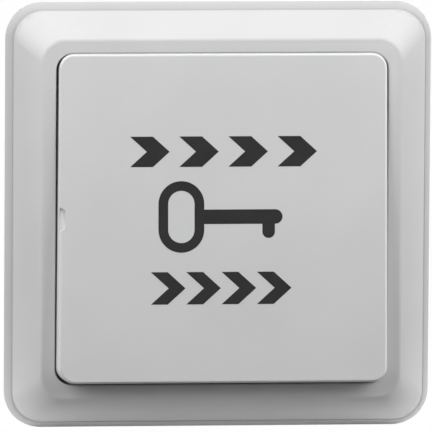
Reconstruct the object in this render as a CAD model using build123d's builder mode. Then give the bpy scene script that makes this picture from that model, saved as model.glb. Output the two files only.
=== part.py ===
"""Flush-mounted door exit button on a square 86 mm wall plate.

A bevelled frame surrounds one large push key that is hinged near its top edge. At rest the key leans out
at the bottom. Pressing it swings the key in, and a boss behind it drives a plunger that carries a contact
bridge onto two fixed contacts in the switch body behind the plate.

Axes: X runs to the right, Z up, and the front faces -Y. The wall plane is y = 0, and the origin is midway
between the two fixing screws on that plane. Lengths are in millimetres and angles in degrees.
"""

import os
from math import atan2, cos, degrees, pi, radians, sin, sqrt

from build123d import *

# Frame: outline, bevel and rim
plate_size = 86.0
plate_corner_radius = 7.4
frame_height = 8.8  # from the wall to the flat rim round the key
side_height = 2.9  # from the wall to the start of the bevel
side_draft = 1.4  # how far the side leans in over that height
bevel_width = 5.3
rim_width = 2.9
ridge_corner_radius = 5.0
opening_corner_radius = 3.4
ridge_chamfer = 0.2
opening_chamfer = 0.2
frame_wall = 1.9
cavity_corner = 2.6  # flat across each corner of the hollow behind the plate
bevel_wall = 2.4  # measured along the wall plane
rim_thickness = 1.7
collar_wall = 1.4
collar_bottom = 3.4  # height of the collar's rear edge
collar_bite = 0.3
frame_rib_thickness = 1.0
frame_rib_spacing = 24.0
frame_rib_bite = 0.8

# Frame hooks, which snap through windows in the mounting base
hook_width = 8.0
hook_thickness = 1.4
hook_barb = 0.8
hook_barb_height = 0.9
hook_spacing = 36.0
hook_inset = 5.3  # from the plate's edge to the outer face of a hook
hook_rear_gap = 0.3  # from the wall plane to the tip of a hook
hook_catch_gap = 0.05
snap_clearance = 0.25

# Mounting base
base_thickness = 2.2
base_clearance = 0.35
screw_inset = 12.85  # from the plate's side edge to each fixing screw
screw_slot_width = 4.4
screw_slot_length = 8.0
screw_recess_depth = 0.6
screw_recess_margin = 2.0

# Key
key_gap = 0.45  # at each side of the opening
key_top_gap = 0.15
key_corner_radius = 3.0
key_face_thickness = 2.0
key_wall = 1.6
key_edge_chamfer = 0.4
key_rest_tilt = 4.0
key_travel = 3.5
key_proud = 0.16  # of the top edge above the rim, at rest
key_base_gap = 0.45  # least gap between the key's skirt and the base
key_rib_thickness = 1.0
key_rib_depth = 1.3
key_upper_rib_drop = 14.0  # below the hinge axis
key_lower_rib_insets = (11.8, 27.8)  # from the inside of the bottom skirt

# Hinge
hinge_height = 4.5  # of the hinge axis above the wall
hinge_inset = 5.5  # from the key's top edge down to the hinge axis
trunnion_radius = 1.25
trunnion_length = 3.8
bearing_clearance = 0.05
ear_thickness = 1.8
ear_radius = 2.0
post_thickness = 4.0
post_radius = 2.5
post_gap = 0.3
post_side_room = 3.45  # between a post and the key's side skirt

# Stop hooks on the key, and the brackets on the base that hold them
stop_side_inset = 11.35  # from the inside of the key's side skirt to a stop hook's middle
stop_width = 6.0
stop_thickness = 1.4
stop_inset = 5.4  # from the inside of the key's bottom skirt to the stop hook's far face
stop_barb = 1.0
stop_barb_height = 0.8
stop_lip_height = 6.0  # of the underside of the bracket's lip above the wall
stop_lip_thickness = 0.9
stop_gap = 0.1
stop_clearance = 0.4
bracket_wall = 1.2

# Rubber bumpers under the key's bottom skirt
bumper_side_inset = 6.95  # from the key's side to a bumper's middle
bumper_width = 7.0
bumper_depth = 2.6
bumper_gap = 0.1
bumper_chamfer = 0.3

# Key springs
key_spring_spacing = 22.0
key_spring_inset = 18.8  # from the inside of the key's bottom skirt
key_spring_radius = 3.1
key_spring_wire = 0.7
key_spring_turns = 4.0
spring_seat_depth = 0.9
spring_cup_wall = 0.9
spring_cup_height = 1.8
spring_pin_length = 1.8
spring_clearance = 0.3
spring_end_gap = 0.15  # at each end of a key spring

# Switch body behind the plate
switch_height = 21.0
switch_depth = 11.0
switch_corner_radius = 1.2
flange_thickness = 2.0
flange_width = 8.0
flange_end = 3.3  # beyond the flange's screws
flange_corner_radius = 2.0
switch_wall = 1.4
chamber_width = 16.0
chamber_height = 11.0
terminal_bay_width = 8.1
terminal_bay_height = 17.0
guide_wall = 1.9
guide_height = 4.0  # above the wall plane
guide_window_gap = 0.4
housing_screw_gap = 0.9  # between the switch body's side and a screw's head
housing_screw_radius = 1.25
housing_screw_head_radius = 2.2
housing_screw_head_height = 1.5
housing_screw_reach = 4.0  # in front of the wall plane
housing_boss_radius = 3.0
housing_boss_height = 5.2
screw_hole_clearance = 0.05

# Rear cover of the switch body
cover_thickness = 1.6
cover_clearance = 0.2
cover_pin_radius = 1.2
cover_pin_height = 1.0
cover_screw_inset = 2.5  # from the cover's edge to a screw's middle
cover_screw_radius = 1.0
cover_screw_length = 6.0
cover_screw_head_radius = 1.8
cover_screw_head_height = 1.2

# Plunger and contact bridge
plunger_radius = 2.5
plunger_clearance = 0.08
plunger_top = 6.0  # above the wall plane, at rest
plunger_chamfer = 0.6
plunger_flange_radius = 4.0
plunger_flange_thickness = 1.0
plunger_flange_gap = 0.05
plunger_stem_radius = 1.2
plunger_stem_tail = 2.0
actuator_radius = 3.0
actuator_gap = 0.3
bridge_end_gap = 0.5  # between the bridge and the chamber's wall
bridge_width = 4.0
bridge_thickness = 0.8
bridge_hole_gap = 0.1
contact_inset = 2.0  # from the bridge's end to its rivet's middle
rivet_radius = 1.3
rivet_height = 0.6
closed_gap = 0.05  # between the rivets with the key fully pressed
clip_radius = 2.3
clip_thickness = 0.5
clip_groove_depth = 0.3
clip_mouth = 1.7
contact_spring_radius = 2.4
contact_spring_wire = 0.4
contact_spring_turns = 2.0
return_spring_radius = 2.1
return_spring_wire = 0.4
return_spring_turns = 4.0
switch_spring_gap = 0.1  # at each end of the two springs on the plunger

coil_sides = 12  # straight runs in one turn of any spring

# Fixed contacts and terminals
bay_depth = 3.2  # of the terminal bays, from the strips' front faces to the switch body's rear
strip_width = 5.0
strip_thickness = 0.8
strip_inner_margin = 0.6  # from a fixed contact to its strip's inner end
strip_outer_margin = 0.4
strip_side_gap = 0.1
terminal_screw_radius = 1.5
terminal_screw_reach = 4.2  # in front of the strip
terminal_head_margin = 0.5  # from the washer's edge to the screw's head
terminal_head_height = 1.8
washer_margin = 0.85  # from the bay's side to the washer
washer_thickness = 0.9
washer_lift = 0.4  # room left for a bare wire under the washer

# Sizes that follow from those above
side_size = plate_size - 2 * side_draft
ridge_size = side_size - 2 * bevel_width  # where the bevel would meet the rim without a chamfer
opening_size = ridge_size - 2 * rim_width
collar_size = opening_size + 2 * collar_wall
cavity_height = frame_height - rim_thickness
cavity_base = plate_size - 2 * frame_wall
cavity_side = side_size - 2 * frame_wall
bevel_run = bevel_width / (frame_height - side_height)  # per unit of height
shoulder_size = ridge_size + 2 * ridge_chamfer * bevel_run
side_taper = degrees(atan2(side_draft, side_height))
ridge_taper = degrees(atan2(1 + bevel_run, 1))
cavity_top = ridge_size + 2 * (rim_thickness * bevel_run - bevel_wall)
cavity_run = (cavity_side - cavity_top) / 2 / (cavity_height - side_height)
base_size = plate_size - 2 * (side_draft * base_thickness / side_height + frame_wall + base_clearance)
base_corner_radius = plate_corner_radius - (plate_size - base_size) / 2
screw_spacing = plate_size - 2 * screw_inset
key_size = opening_size - 2 * key_gap
key_inner_size = key_size - 2 * key_wall
hinge_span = key_inner_size - 2 * (post_side_room + post_thickness + post_gap)  # over the key's two ears
stop_spacing = key_inner_size - 2 * stop_side_inset
bumper_spacing = key_size - 2 * bumper_side_inset
pressed_tilt = key_rest_tilt - key_travel
rest_sin = sin(radians(key_rest_tilt))
rest_cos = cos(radians(key_rest_tilt))
pressed_sin = sin(radians(pressed_tilt))
pressed_cos = cos(radians(pressed_tilt))
hinge_to_face = (frame_height + key_proud - hinge_height + hinge_inset * rest_sin) / rest_cos
hinge_z = opening_size / 2 - key_top_gap - hinge_inset * rest_cos - hinge_to_face * rest_sin
hinge_to_inside = hinge_to_face - key_face_thickness
key_below_hinge = key_size - hinge_inset
key_middle = hinge_inset - key_size / 2
key_inside_drop = key_below_hinge - key_wall  # from the hinge to the inside of the bottom skirt
key_spring_drop = key_inside_drop - key_spring_inset
key_rib_drops = [key_upper_rib_drop] + [key_inside_drop - inset for inset in key_lower_rib_insets]
skirt_end = (base_thickness + key_base_gap - hinge_height + hinge_inset * rest_sin) / rest_cos
plunger_drop = hinge_z / rest_cos  # from the hinge to the plunger, along the key
plunger_travel = plunger_drop * radians(key_travel)
guide_radius = plunger_radius + plunger_clearance + guide_wall
strip_depth = switch_depth - bay_depth
bay_inner = chamber_width / 2 + switch_wall
switch_width = 2 * (bay_inner + terminal_bay_width)
terminal_spacing = 2 * bay_inner + terminal_bay_width
housing_screw_spacing = switch_height + 2 * (housing_screw_gap + housing_screw_head_radius)
flange_length = housing_screw_spacing + 2 * flange_end
cover_screw_spacing = switch_height - 2 * cover_screw_inset
bridge_length = chamber_width - 2 * bridge_end_gap
contact_spacing = bridge_length - 2 * contact_inset
strip_inner_end = contact_spacing / 2 - rivet_radius - strip_inner_margin
washer_size = terminal_bay_width - 2 * washer_margin
terminal_head_radius = washer_size / 2 - terminal_head_margin


def front(height):
    """A sketch plane parallel to the wall, at that height in front of it."""
    return Plane.XZ.offset(height)


def across(x):
    """A sketch plane square to X, with its own x along Y and its own y along Z."""
    return Plane(origin=(x, 0, 0), x_dir=(0, 1, 0), z_dir=(1, 0, 0))


def on_key(out):
    """A sketch plane parallel to the key's face, that far in front of the hinge axis, with y up the key."""
    origin = (0, -hinge_height - out * rest_cos, hinge_z + out * rest_sin)
    return Plane(origin=origin, x_dir=(1, 0, 0), z_dir=(0, -rest_cos, rest_sin))


def rest_out(height, drop):
    """How far in front of the hinge, square to the key, a point lies at that height and drop at rest."""
    return (height - hinge_height - drop * rest_sin) / rest_cos


def rest_height(out, drop):
    """The height above the wall, at rest, of a point so far in front of and below the hinge."""
    return hinge_height + drop * rest_sin + out * rest_cos


def rest_z(out, drop):
    """The z, at rest, of a point so far in front of and below the hinge."""
    return hinge_z - drop * rest_cos + out * rest_sin


def save(part, name):
    """Labels a finished piece and writes its file."""
    part.label = name
    export_step(part, f"parts/{name}.step")


def coil(radius, wire, turns, near, far, x=0.0, z=0.0):
    """A spring along Y between two y values, of square wire bent in short straight runs."""
    runs = round(turns * coil_sides)
    rise = (far - near - wire) / runs
    angles = [2 * pi * step / coil_sides for step in range(runs + 1)]
    points = [
        (x + radius * cos(angle), near + wire / 2 + rise * step, z + radius * sin(angle))
        for step, angle in enumerate(angles)
    ]
    with BuildPart() as spring:
        with BuildLine() as path:
            Polyline(*points)
        with BuildSketch(Plane(origin=path.line @ 0, x_dir=(0, 1, 0), z_dir=path.line % 0)):
            Rectangle(wire, wire)
        sweep(path=path.line, transition=Transition.RIGHT)
    return spring.part


os.makedirs("parts", exist_ok=True)

# Front frame
rib_foot = cavity_side / 2 + frame_rib_bite - cavity_run * (collar_bottom - side_height)
rib_top = cavity_top / 2 + frame_rib_bite
rib_inner = collar_size / 2 - collar_bite
with BuildPart() as frame_rib:
    for x in (-frame_rib_spacing, 0, frame_rib_spacing):
        with BuildSketch(across(x)):
            with BuildLine():
                Polyline(
                    (-collar_bottom, rib_inner),
                    (-collar_bottom, rib_foot),
                    (-cavity_height, rib_top),
                    (-cavity_height - collar_bite, rib_top),
                    (-cavity_height - collar_bite, rib_inner),
                    close=True,
                )
            make_face()
        extrude(amount=frame_rib_thickness / 2, both=True)

hook_outer = plate_size / 2 - hook_inset
hook_inner = hook_outer - hook_thickness
hook_root = side_height + (cavity_side / 2 - hook_inner) / cavity_run + collar_bite
with BuildPart() as frame_hook:
    for z in (-hook_spacing / 2, hook_spacing / 2):
        with BuildSketch(front(hook_rear_gap)):
            with Locations(((hook_outer + hook_inner) / 2, z)):
                Rectangle(hook_thickness, hook_width)
        extrude(amount=hook_root - hook_rear_gap)
        with BuildSketch(Plane.XY.offset(z)):
            with BuildLine():
                Polyline(
                    (hook_outer - collar_bite, -hook_rear_gap),
                    (hook_outer, -hook_rear_gap),
                    (hook_outer + hook_barb, -hook_rear_gap - hook_barb_height / 2),
                    (hook_outer + hook_barb, -hook_rear_gap - hook_barb_height),
                    (hook_outer - collar_bite, -hook_rear_gap - hook_barb_height),
                    close=True,
                )
            make_face()
        extrude(amount=hook_width / 2, both=True)

with BuildPart() as front_frame:
    with BuildSketch(front(0)):
        RectangleRounded(plate_size, plate_size, plate_corner_radius)
    extrude(amount=side_height, taper=side_taper)
    with BuildSketch(front(side_height)):
        RectangleRounded(side_size, side_size, plate_corner_radius - side_draft)
    with BuildSketch(front(frame_height - ridge_chamfer)):
        RectangleRounded(shoulder_size, shoulder_size, ridge_corner_radius)
    loft(ruled=True)
    with BuildSketch(front(frame_height - ridge_chamfer)):
        RectangleRounded(shoulder_size, shoulder_size, ridge_corner_radius)
    extrude(amount=ridge_chamfer, taper=ridge_taper)
    with BuildSketch(front(0)) as outline:
        Rectangle(cavity_base, cavity_base)
        chamfer(outline.vertices(), cavity_corner + (2 - sqrt(2)) * side_draft)
    extrude(amount=side_height, taper=side_taper, mode=Mode.SUBTRACT)
    with BuildSketch(front(side_height)) as outline:
        Rectangle(cavity_side, cavity_side)
        chamfer(outline.vertices(), cavity_corner)
    with BuildSketch(front(cavity_height)) as outline:
        Rectangle(cavity_top, cavity_top)
        chamfer(outline.vertices(), cavity_corner)
    loft(ruled=True, mode=Mode.SUBTRACT)
    with BuildSketch(front(collar_bottom)):
        RectangleRounded(collar_size, collar_size, opening_corner_radius + collar_wall)
    extrude(amount=cavity_height + collar_bite - collar_bottom)
    for turn in range(4):
        add(frame_rib.part.rotate(Axis.Y, 90 * turn))
    for turn in range(2):
        add(frame_hook.part.rotate(Axis.Y, 180 * turn))
    with BuildSketch(front(0)):
        RectangleRounded(opening_size, opening_size, opening_corner_radius)
    extrude(amount=frame_height, mode=Mode.SUBTRACT)
    chamfer(front_frame.faces().sort_by(Axis.Y)[0].inner_wires()[0].edges(), opening_chamfer)
save(front_frame.part, "front_frame")

# Key with its skirt, ribs, actuator boss, hinge ears, stop hooks and spring pins
actuator_end = rest_out(plunger_top + actuator_gap, plunger_drop)
stop_drop = key_inside_drop - stop_inset
stop_tip = rest_out(stop_lip_height - stop_gap, stop_drop) - stop_barb_height
ear_root = hinge_to_face - key_face_thickness / 2
with BuildPart() as key_plate:
    with BuildSketch(on_key(skirt_end)):
        with Locations((0, key_middle)):
            RectangleRounded(key_size, key_size, key_corner_radius)
    extrude(amount=hinge_to_face - skirt_end)
    key_front = key_plate.faces().sort_by(Axis((0, 0, 0), (0, -rest_cos, rest_sin)))[-1]
    chamfer(key_front.edges(), key_edge_chamfer)
    with BuildSketch(on_key(skirt_end)):
        with Locations((0, key_middle)):
            RectangleRounded(key_inner_size, key_inner_size, key_corner_radius - key_wall)
    extrude(amount=hinge_to_inside - skirt_end, mode=Mode.SUBTRACT)
    with BuildSketch(on_key(hinge_to_inside - key_rib_depth)):
        with Locations(*[(0, -drop) for drop in key_rib_drops]):
            Rectangle(key_inner_size + key_wall, key_rib_thickness)
        with Locations((0, -(key_rib_drops[0] + key_rib_drops[-1]) / 2)):
            Rectangle(key_rib_thickness, key_rib_drops[-1] - key_rib_drops[0])
    extrude(amount=key_rib_depth + key_face_thickness / 2)
    with BuildSketch(on_key(actuator_end)):
        with Locations((0, -plunger_drop)):
            Circle(actuator_radius)
    extrude(amount=hinge_to_inside + key_face_thickness / 2 - actuator_end)
    for side in (-1, 1):
        inner = side * (hinge_span / 2 - ear_thickness)
        outer = side * hinge_span / 2
        with BuildSketch(across(min(inner, outer))):
            with Locations((-hinge_height, hinge_z)):
                Circle(ear_radius)
            with BuildLine():
                Polyline(
                    (-rest_height(0, ear_radius), rest_z(0, ear_radius)),
                    (-rest_height(0, -ear_radius), rest_z(0, -ear_radius)),
                    (-rest_height(ear_root, -ear_radius), rest_z(ear_root, -ear_radius)),
                    (-rest_height(ear_root, ear_radius), rest_z(ear_root, ear_radius)),
                    close=True,
                )
            make_face()
        extrude(amount=ear_thickness)
        with BuildSketch(across(outer)):
            with Locations((-hinge_height, hinge_z)):
                Circle(trunnion_radius)
        extrude(amount=side * trunnion_length)
        with BuildSketch(on_key(stop_tip)):
            with Locations((side * stop_spacing / 2, stop_thickness / 2 - stop_drop)):
                Rectangle(stop_width, stop_thickness)
        extrude(amount=hinge_to_inside + key_face_thickness / 2 - stop_tip)
        with BuildSketch(on_key(stop_tip)):
            with Locations((side * stop_spacing / 2, -stop_drop)):
                Rectangle(stop_width, 2 * stop_barb)
        extrude(amount=stop_barb_height)
        pin_radius = key_spring_radius - key_spring_wire / 2 - spring_clearance
        with BuildSketch(on_key(hinge_to_inside - spring_pin_length)):
            with Locations((side * key_spring_spacing / 2, -key_spring_drop)):
                Circle(pin_radius)
        extrude(amount=spring_pin_length + key_face_thickness / 2)
save(key_plate.part, "key_plate")

# Mounting base with its hinge posts, screw slots, bosses, spring cups and stop brackets
base_edge = base_size / 2
spring_z = rest_z(hinge_to_inside, key_spring_drop)
spring_cup_radius = key_spring_radius + key_spring_wire / 2 + spring_clearance
stop_face_z = rest_z(stop_tip + stop_barb_height, stop_drop)
bracket_inner_z = stop_face_z - stop_barb - stop_clearance
bracket_outer_z = bracket_inner_z - bracket_wall
lip_edge_z = stop_face_z - stop_clearance
window_top_z = stop_face_z + stop_thickness + stop_clearance
window_width = stop_width + 2 * stop_clearance
hook_ceiling = hook_rear_gap + hook_barb_height + hook_catch_gap
screw_recess_length = screw_slot_length + 2 * screw_recess_margin
screw_recess_width = screw_slot_width + 2 * screw_recess_margin
with BuildPart() as mounting_base:
    with BuildSketch(front(0)):
        RectangleRounded(base_size, base_size, base_corner_radius)
    extrude(amount=base_thickness)
    with BuildSketch(front(0)):
        with Locations((-screw_spacing / 2, 0), (screw_spacing / 2, 0)):
            SlotOverall(screw_slot_length, screw_slot_width)
    extrude(amount=base_thickness, mode=Mode.SUBTRACT)
    with BuildSketch(front(base_thickness - screw_recess_depth)):
        with Locations((-screw_spacing / 2, 0), (screw_spacing / 2, 0)):
            Rectangle(screw_recess_length, screw_recess_width)
    extrude(amount=screw_recess_depth, mode=Mode.SUBTRACT)
    with BuildSketch(front(0)):
        Circle(guide_radius + guide_window_gap)
    extrude(amount=base_thickness, mode=Mode.SUBTRACT)
    for side in (-1, 1):
        near = hinge_span / 2 + post_gap
        post_start = near if side > 0 else -near - post_thickness
        with BuildSketch(across(post_start)):
            with Locations((-hinge_height, hinge_z)):
                Circle(post_radius)
            with Locations((-(hinge_height + base_thickness / 2) / 2, hinge_z)):
                Rectangle(hinge_height - base_thickness / 2, 2 * post_radius)
            with Locations((-hinge_height, hinge_z)):
                Circle(trunnion_radius + bearing_clearance, mode=Mode.SUBTRACT)
        extrude(amount=post_thickness)
        with BuildSketch(front(base_thickness / 2)):
            with Locations((0, side * housing_screw_spacing / 2)):
                Circle(housing_boss_radius)
        extrude(amount=housing_boss_height - base_thickness / 2)
        with BuildSketch(front(0)):
            with Locations((0, side * housing_screw_spacing / 2)):
                Circle(housing_screw_radius + screw_hole_clearance)
        extrude(amount=housing_screw_reach + screw_hole_clearance, mode=Mode.SUBTRACT)
        with BuildSketch(front(base_thickness / 2)):
            with Locations((side * key_spring_spacing / 2, spring_z)):
                Circle(spring_cup_radius + spring_cup_wall)
        extrude(amount=base_thickness / 2 + spring_cup_height)
        with BuildSketch(front(base_thickness - spring_seat_depth)):
            with Locations((side * key_spring_spacing / 2, spring_z)):
                Circle(spring_cup_radius)
        extrude(amount=spring_seat_depth + spring_cup_height, mode=Mode.SUBTRACT)
        with BuildSketch(front(base_thickness / 2)):
            with Locations((side * stop_spacing / 2, (bracket_outer_z + lip_edge_z) / 2)):
                Rectangle(window_width + 2 * bracket_wall, lip_edge_z - bracket_outer_z)
        extrude(amount=stop_lip_height + stop_lip_thickness - base_thickness / 2)
        with BuildSketch(front(0)):
            with Locations((side * stop_spacing / 2, (bracket_inner_z + window_top_z) / 2)):
                Rectangle(window_width, window_top_z - bracket_inner_z)
        extrude(amount=stop_lip_height, mode=Mode.SUBTRACT)
        for z in (-hook_spacing / 2, hook_spacing / 2):
            window_near = hook_inner - hook_barb - snap_clearance
            window_far = hook_outer + snap_clearance
            pocket_far = hook_outer + hook_barb + snap_clearance
            with BuildSketch(front(0)):
                with Locations((side * (window_near + window_far) / 2, z)):
                    Rectangle(window_far - window_near, hook_width + 2 * snap_clearance)
            extrude(amount=base_thickness, mode=Mode.SUBTRACT)
            with BuildSketch(front(0)):
                with Locations((side * (window_near + pocket_far) / 2, z)):
                    Rectangle(pocket_far - window_near, hook_width + 2 * snap_clearance)
            extrude(amount=hook_ceiling, mode=Mode.SUBTRACT)
save(mounting_base.part, "mounting_base")

# Rubber bumpers
pressed_end = hinge_height + key_below_hinge * pressed_sin + skirt_end * pressed_cos
bumper_height = pressed_end - bumper_gap - base_thickness
for side, place in ((-1, "left"), (1, "right")):
    with BuildPart() as bumper:
        with BuildSketch(front(base_thickness)):
            with Locations((side * bumper_spacing / 2, bumper_depth / 2 - opening_size / 2 + 2 * key_gap)):
                Rectangle(bumper_width, bumper_depth)
        extrude(amount=bumper_height)
        chamfer(bumper.edges().group_by(Axis.Y)[0], bumper_chamfer)
    save(bumper.part, f"bumper_{place}")

# Key springs
spring_top_drop = key_spring_drop - key_spring_radius - key_spring_wire / 2
spring_near = spring_end_gap - rest_height(hinge_to_inside, spring_top_drop)
spring_far = spring_seat_depth - base_thickness - spring_end_gap
for side, place in ((-1, "left"), (1, "right")):
    wound = coil(
        key_spring_radius,
        key_spring_wire,
        key_spring_turns,
        spring_near,
        spring_far,
        side * key_spring_spacing / 2,
        spring_z,
    )
    save(wound, f"key_spring_{place}")

# Switch housing
with BuildPart() as switch_housing:
    with BuildSketch(front(-switch_depth)):
        RectangleRounded(switch_width, switch_height, switch_corner_radius)
    extrude(amount=switch_depth)
    with BuildSketch(front(-flange_thickness)):
        RectangleRounded(flange_width, flange_length, flange_corner_radius)
    extrude(amount=flange_thickness)
    with BuildSketch(front(0)):
        Circle(guide_radius)
    extrude(amount=guide_height)
    with BuildSketch(front(-switch_depth)):
        Rectangle(chamber_width, chamber_height)
    extrude(amount=switch_depth - switch_wall, mode=Mode.SUBTRACT)
    with BuildSketch(front(-switch_wall)):
        Circle(plunger_radius + plunger_clearance)
    extrude(amount=switch_wall + guide_height, mode=Mode.SUBTRACT)
    with BuildSketch(front(-switch_depth)):
        Rectangle(switch_width, strip_width + 2 * strip_side_gap)
        for side in (-1, 1):
            with Locations((side * (bay_inner + switch_width / 2) / 2, 0)):
                Rectangle(switch_width / 2 - bay_inner, terminal_bay_height)
    extrude(amount=bay_depth, mode=Mode.SUBTRACT)
    with BuildSketch(front(-flange_thickness)):
        with Locations((0, -housing_screw_spacing / 2), (0, housing_screw_spacing / 2)):
            Circle(housing_screw_radius + screw_hole_clearance)
    extrude(amount=flange_thickness, mode=Mode.SUBTRACT)
    with BuildSketch(front(-strip_depth)):
        with Locations((-terminal_spacing / 2, 0), (terminal_spacing / 2, 0)):
            Circle(terminal_screw_radius + screw_hole_clearance)
    extrude(amount=terminal_screw_reach + screw_hole_clearance, mode=Mode.SUBTRACT)
    cover_hole_depth = cover_screw_length - cover_thickness + screw_hole_clearance
    with BuildSketch(front(-switch_depth)):
        with Locations((0, -cover_screw_spacing / 2), (0, cover_screw_spacing / 2)):
            Circle(cover_screw_radius + screw_hole_clearance)
    extrude(amount=cover_hole_depth, mode=Mode.SUBTRACT)
save(switch_housing.part, "switch_housing")

# Rear cover, with two ledges behind the strips and a pin for the return spring
ledge_outer = chamber_width / 2 - cover_clearance
with BuildPart() as switch_cover:
    with BuildSketch(front(-switch_depth - cover_thickness)):
        RectangleRounded(2 * bay_inner, switch_height, switch_corner_radius)
    extrude(amount=cover_thickness)
    with BuildSketch(front(-switch_depth)):
        for side in (-1, 1):
            with Locations((side * (ledge_outer + strip_inner_end) / 2, 0)):
                Rectangle(ledge_outer - strip_inner_end, chamber_height - 2 * cover_clearance)
    extrude(amount=bay_depth - strip_thickness)
    with BuildSketch(front(-switch_depth)):
        Circle(cover_pin_radius)
    extrude(amount=cover_pin_height)
    with BuildSketch(front(-switch_depth - cover_thickness)):
        with Locations((0, -cover_screw_spacing / 2), (0, cover_screw_spacing / 2)):
            Circle(cover_screw_radius + screw_hole_clearance)
    extrude(amount=cover_thickness, mode=Mode.SUBTRACT)
save(switch_cover.part, "switch_cover")

# Plunger
flange_near = switch_wall + plunger_flange_gap
flange_far = flange_near + plunger_flange_thickness
strip_front_contact = strip_depth - rivet_height
bridge_far = strip_front_contact - closed_gap - plunger_travel - rivet_height
bridge_near = bridge_far - bridge_thickness
clip_far = bridge_far + clip_thickness
stem_end = clip_far + plunger_stem_tail
with BuildPart() as plunger:
    with BuildSketch(front(-flange_near)):
        Circle(plunger_radius)
    extrude(amount=flange_near + plunger_top)
    chamfer(plunger.edges().group_by(Axis.Y)[0], plunger_chamfer)
    with BuildSketch(front(-flange_far)):
        Circle(plunger_flange_radius)
    extrude(amount=plunger_flange_thickness)
    with BuildSketch(front(-stem_end)):
        Circle(plunger_stem_radius)
    extrude(amount=stem_end - flange_far)
    with BuildSketch(front(-clip_far)):
        Circle(plunger_stem_radius + clip_groove_depth)
        Circle(plunger_stem_radius - clip_groove_depth, mode=Mode.SUBTRACT)
    extrude(amount=clip_thickness, mode=Mode.SUBTRACT)
save(plunger.part, "plunger")

# Contact bridge, its rivets, its clip and its spring
with BuildPart() as contact_bridge:
    with BuildSketch(front(-bridge_far)):
        Rectangle(bridge_length, bridge_width)
        Circle(plunger_stem_radius + bridge_hole_gap, mode=Mode.SUBTRACT)
    extrude(amount=bridge_thickness)
save(contact_bridge.part, "contact_bridge")

with BuildPart() as bridge_contacts:
    with BuildSketch(front(-bridge_far)):
        with Locations((-contact_spacing / 2, 0), (contact_spacing / 2, 0)):
            Circle(rivet_radius)
    extrude(amount=-rivet_height)
save(bridge_contacts.part, "bridge_contacts")

with BuildPart() as bridge_clip:
    with BuildSketch(front(-clip_far)):
        Circle(clip_radius)
        Circle(plunger_stem_radius - clip_groove_depth, mode=Mode.SUBTRACT)
        with Locations((0, -clip_radius / 2)):
            Rectangle(clip_mouth, clip_radius, mode=Mode.SUBTRACT)
    extrude(amount=clip_thickness)
save(bridge_clip.part, "bridge_clip")

contact_spring = coil(
    contact_spring_radius,
    contact_spring_wire,
    contact_spring_turns,
    flange_far + switch_spring_gap,
    bridge_near - switch_spring_gap,
)
save(contact_spring, "contact_spring")
return_spring = coil(
    return_spring_radius,
    return_spring_wire,
    return_spring_turns,
    clip_far + switch_spring_gap,
    switch_depth - switch_spring_gap,
)
save(return_spring, "return_spring")

# Terminal strips, fixed contacts, clamp washers and terminal screws
strip_outer = switch_width / 2 - strip_outer_margin
strip_rear = strip_depth + strip_thickness
washer_near = strip_rear + washer_lift
washer_far = washer_near + washer_thickness
for side, place in ((-1, "left"), (1, "right")):
    terminal = (side * terminal_spacing / 2, 0)
    with BuildPart() as strip:
        with BuildSketch(front(-strip_rear)):
            with Locations((side * (strip_outer + strip_inner_end) / 2, 0)):
                Rectangle(strip_outer - strip_inner_end, strip_width)
            with Locations(terminal):
                Circle(terminal_screw_radius + strip_side_gap, mode=Mode.SUBTRACT)
        extrude(amount=strip_thickness)
    save(strip.part, f"terminal_strip_{place}")
    with BuildPart() as fixed_contact:
        with BuildSketch(front(-strip_depth)):
            with Locations((side * contact_spacing / 2, 0)):
                Circle(rivet_radius)
        extrude(amount=rivet_height)
    save(fixed_contact.part, f"fixed_contact_{place}")
    with BuildPart() as washer:
        with BuildSketch(front(-washer_far)):
            with Locations(terminal):
                Rectangle(washer_size, washer_size)
                Circle(terminal_screw_radius + strip_side_gap, mode=Mode.SUBTRACT)
        extrude(amount=washer_thickness)
    save(washer.part, f"clamp_washer_{place}")
    with BuildPart() as terminal_screw:
        with BuildSketch(front(-washer_far - terminal_head_height)):
            with Locations(terminal):
                Circle(terminal_head_radius)
        extrude(amount=terminal_head_height)
        with BuildSketch(front(-washer_far)):
            with Locations(terminal):
                Circle(terminal_screw_radius)
        extrude(amount=washer_far - strip_depth + terminal_screw_reach)
    save(terminal_screw.part, f"terminal_screw_{place}")

# Screws that hold the housing to the base
with BuildPart() as housing_screws:
    for side in (-1, 1):
        middle = (0, side * housing_screw_spacing / 2)
        with BuildSketch(front(-flange_thickness - housing_screw_head_height)):
            with Locations(middle):
                Circle(housing_screw_head_radius)
        extrude(amount=housing_screw_head_height)
        with BuildSketch(front(-flange_thickness)):
            with Locations(middle):
                Circle(housing_screw_radius)
        extrude(amount=flange_thickness + housing_screw_reach)
save(housing_screws.part, "housing_screws")

# Screws that hold the rear cover to the housing
cover_rear = switch_depth + cover_thickness
with BuildPart() as cover_screws:
    for side in (-1, 1):
        middle = (0, side * cover_screw_spacing / 2)
        with BuildSketch(front(-cover_rear - cover_screw_head_height)):
            with Locations(middle):
                Circle(cover_screw_head_radius)
        extrude(amount=cover_screw_head_height)
        with BuildSketch(front(-cover_rear)):
            with Locations(middle):
                Circle(cover_screw_radius)
        extrude(amount=cover_screw_length)
save(cover_screws.part, "cover_screws")
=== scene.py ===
"""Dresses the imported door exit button: finishes, print, springs, screws, terminals, and the stage it stands on.

Lengths in the code are millimetres until a mesh is made, and metres from there on. X runs to the right,
Z up, and the front faces -Y.
"""

from math import cos, hypot, pi, radians, sin

import bmesh
import bpy
import numpy as np
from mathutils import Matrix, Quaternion, Vector


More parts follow.
